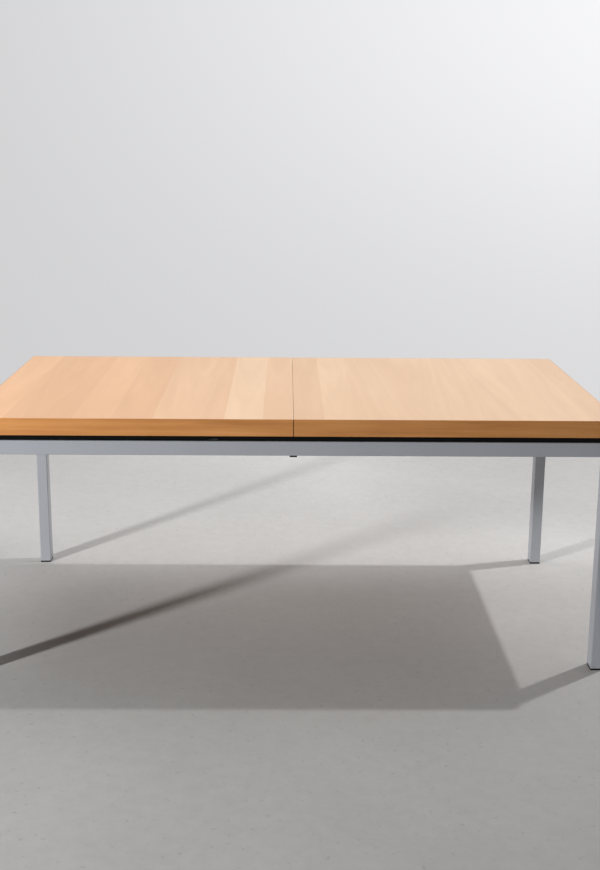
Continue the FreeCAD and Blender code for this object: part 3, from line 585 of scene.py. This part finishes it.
def silver_coat():
    finish = new_finish("silver_coat", {})
    place = finish.place()
    flakes = finish.noise(place, FLAKES, 1.0)
    swell = finish.noise(place, SWELL, 2.0)
    clouds = finish.noise(place, COAT_CLOUDS, 3.0)
    lightness = 0.5 + flakes.swing(1.1) + clouds.swing(0.3)
    finish.feed("Base Color", finish.mix(lightness, SILVER_DARK, SILVER_LIGHT))
    finish.feed("Metallic", SILVER_METAL + flakes.swing(0.4))
    finish.feed("Roughness", SILVER_ROUGHNESS + clouds.swing(0.12) + flakes.swing(0.1))
    finish.bump(swell * 0.7 + flakes * 0.3, 0.00006, 0.3)
    return finish.owner


silver = silver_coat()
print("silver coat made")

# %% [markdown]
# ## Black parts
# Four blacks meet on this table: moulded feet and guides with a fine grained surface, the drawn profile
# in the gap under the top, the lacquered lock bar, and the powder coated beams. They share one function,
# because only the shade, the gloss and the scale and direction of the grain differ. A little dust lies on
# all of them.

# %% Blacks
DUST = even(18.0)
DARKEST = 0.7
LIGHTEST = 1.9


def black_finish(name, shade, specular, roughness, grain, depth):
    finish = new_finish(name, {"Specular IOR Level": specular})
    place = finish.place()
    texture = finish.noise(place, grain, 2.0)
    dust = finish.noise(place, DUST, 4.0, 0.6).rise(0.5, 0.8)
    lightness = texture * 0.5 + dust * 0.5
    finish.feed("Base Color", finish.mix(lightness, grey(shade * DARKEST), grey(shade * LIGHTEST)))
    finish.feed("Roughness", roughness + texture.swing(0.15) + dust * 0.1)
    finish.bump(texture, depth, 0.4)
    return finish.owner


moulded_black = black_finish("moulded_black", shade=0.004, specular=0.15, roughness=0.55,
                             grain=even(1500.0), depth=0.00008)
profile_black_x = black_finish("profile_black_x", shade=0.005, specular=0.12, roughness=0.6,
                               grain=(6.0, 900.0, 900.0), depth=0.00003)
profile_black_y = black_finish("profile_black_y", shade=0.005, specular=0.12, roughness=0.6,
                               grain=(900.0, 6.0, 900.0), depth=0.00003)
lacquer_black = black_finish("lacquer_black", shade=0.011, specular=0.4, roughness=0.4,
                             grain=even(700.0), depth=0.00004)
powder_black = black_finish("powder_black", shade=0.026, specular=0.4, roughness=0.5,
                            grain=even(800.0), depth=0.00008)
print("four blacks made, the profile's in two directions")

# %% [markdown]
# ## Working parts
# Slides and runners are extruded aluminium, with die lines along their length. Screws and bolts are zinc
# plated, with the faint yellow and blue of the passivation. Neither mirrors the lamps here, so both are a
# little less than pure metal, and the rest of the surface shows the lamps' light.

# %% Metals
METAL_SHARE = 0.8
ALUMINIUM_DARK = grey(0.55)
ALUMINIUM_LIGHT = (0.64, 0.65, 0.66, 1.0)
ALUMINIUM_ROUGHNESS = 0.34
DIE_LINES = (1.5, 1100.0, 1100.0)
DIE_CLOUDS = (9.0, 25.0, 25.0)
ZINC_BLUE = (0.50, 0.52, 0.56, 1.0)
ZINC_GREY = grey(0.58)
ZINC_YELLOW = (0.60, 0.58, 0.48, 1.0)
ZINC_STOPS = [(0.3, ZINC_BLUE), (0.5, ZINC_GREY), (0.7, ZINC_YELLOW)]
ZINC_ROUGHNESS = 0.28
ZINC_HUES = even(160.0)
ZINC_TURNING = (300.0, 300.0, 2500.0)


def extruded_aluminium():
    finish = new_finish("extruded_aluminium", {"Metallic": METAL_SHARE})
    place = finish.place()
    lines = finish.noise(place, DIE_LINES, 3.0, 0.6)
    clouds = finish.noise(place, DIE_CLOUDS, 3.0)
    finish.feed("Base Color", finish.mix(lines, ALUMINIUM_DARK, ALUMINIUM_LIGHT))
    finish.feed("Roughness", ALUMINIUM_ROUGHNESS + lines.swing(0.14) + clouds.swing(0.12))
    finish.bump(lines, 0.00002, 0.25)
    return finish.owner


def zinc_plate():
    finish = new_finish("zinc_plate", {"Metallic": METAL_SHARE})
    place = finish.place()
    hues = finish.noise(place, ZINC_HUES, 3.0)
    turning = finish.noise(place, ZINC_TURNING, 1.0)
    finish.feed("Base Color", finish.node("ShaderNodeValToRGB", {"stops": ZINC_STOPS}, {"Fac": hues}))
    finish.feed("Roughness", ZINC_ROUGHNESS + turning.swing(0.25))
    finish.bump(turning, 0.00003, 0.3)
    return finish.owner


aluminium = extruded_aluminium()
zinc = zinc_plate()
print("aluminium and zinc made")

# %% [markdown]
# The pinions are natural nylon: off-white, a little see-through at thin places, so light enters the
# surface, and yellowed where it is rubbed.

# %% Nylon
NYLON_FRESH = colour(224, 219, 205)
NYLON_RUBBED = colour(208, 200, 182)
NYLON_ROUGHNESS = 0.45
NYLON_GRAIN = even(900.0)
NYLON_RUBS = even(90.0)


def natural_nylon():
    finish = new_finish("natural_nylon", {"Subsurface Weight": 0.15,
                                          "Subsurface Radius": (0.004, 0.003, 0.002)})
    place = finish.place()
    grain = finish.noise(place, NYLON_GRAIN, 2.0)
    rubbed = finish.noise(place, NYLON_RUBS, 3.0).rise(0.45, 0.7)
    finish.feed("Base Color", finish.mix(rubbed, NYLON_FRESH, NYLON_RUBBED))
    finish.feed("Roughness", NYLON_ROUGHNESS + grain.swing(0.2))
    finish.bump(grain, 0.00005, 0.3)
    return finish.owner


nylon = natural_nylon()
print("nylon made")

# %% [markdown]
# ## Dressing the solids
# The packed record says which finish slot each solid has. Where the direction of the grain matters, the
# solid's longer side decides which of the two versions it takes. Dowels stand side by side in a row, so
# their own direction is the row's shorter side.

# %% Finishes onto the solids
ONE_FINISH = {
    "edge_band": band_wood,
    "silver_frame": silver,
    "black_plastic": moulded_black,
    "black_metal": lacquer_black,
    "beam_steel": powder_black,
    "aluminium": aluminium,
    "nylon": nylon,
    "zinc_steel": zinc,
}
BY_DIRECTION = {
    "core_wood": (sanded_along_x, sanded_along_y),
    "black_strip": (profile_black_x, profile_black_y),
}


def finish_for(node, slot):
    if slot == "veneer":
        return spare_veneer if node == "leaf_board" else top_veneer
    if slot in ONE_FINISH:
        return ONE_FINISH[slot]
    low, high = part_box(node)
    side = high - low
    along_x = side.x > side.y
    if node.endswith("dowels"):
        along_x = not along_x
    return BY_DIRECTION[slot][0 if along_x else 1]


for part in frame["record"]["subparts"]:
    nodes[part["node"]].material_slots[0].material = finish_for(part["node"], part["material_slot"])

# %% [markdown]
# ## Wedges in the gap
# A small dark wedge lies in the gap under the top, on the ledge of the front rail, and a second one on the
# rear rail: packing that keeps the black strip upright. It is a low ramp, so its outline is drawn as one
# face, which an extrusion takes back to the strip, and a bevel eases its arrises. The second wedge is the
# first one turned by half a turn, as the table itself is.

# %% Wedges
WEDGE_MIDDLE = -0.221
WEDGE_OUTLINE = [(-0.016, 0.0), (0.016, 0.0), (0.015, 0.006), (0.006, 0.008), (-0.016, 0.003)]
WEDGE_DEPTH = 0.0033
WEDGE_ARRIS = 0.0004
HALF_TURN = Matrix.Rotation(math.pi, 3, "Z")
wedge_black = black_finish("wedge_black", shade=0.02, specular=0.4, roughness=0.5,
                           grain=even(1500.0), depth=0.00008)


def strip_wedge(name, turned):
    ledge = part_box("front_rail")[1].z
    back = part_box("front_strip")[0].y
    shape = bmesh.new()
    corners = [shape.verts.new((WEDGE_MIDDLE + x, back - WEDGE_DEPTH, ledge + z)) for x, z in WEDGE_OUTLINE]
    grown = bmesh.ops.extrude_face_region(shape, geom=[shape.faces.new(corners)])["geom"]
    grown_verts = [item for item in grown if isinstance(item, bmesh.types.BMVert)]
    bmesh.ops.translate(shape, vec=(0.0, WEDGE_DEPTH, 0.0), verts=grown_verts)
    bmesh.ops.recalc_face_normals(shape, faces=shape.faces)
    bmesh.ops.bevel(shape, geom=shape.edges, offset=WEDGE_ARRIS, affect="EDGES", segments=2, profile=0.5,
                    material=-1)
    if turned:
        bmesh.ops.rotate(shape, cent=(0.0, 0.0, 0.0), matrix=HALF_TURN, verts=shape.verts)
    mesh = bpy.data.meshes.new(name)
    shape.to_mesh(mesh)
    shape.free()
    wedge = bpy.data.objects.new(name, mesh)
    bpy.context.scene.collection.objects.link(wedge)
    wedge.data.materials.append(wedge_black)
    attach(wedge, "frame")
    print(name, "of", len(mesh.polygons), "faces")


strip_wedge("front_strip_wedge", False)
strip_wedge("rear_strip_wedge", True)

# %% [markdown] ## The last cell
# The finished table must not be larger than its solids.
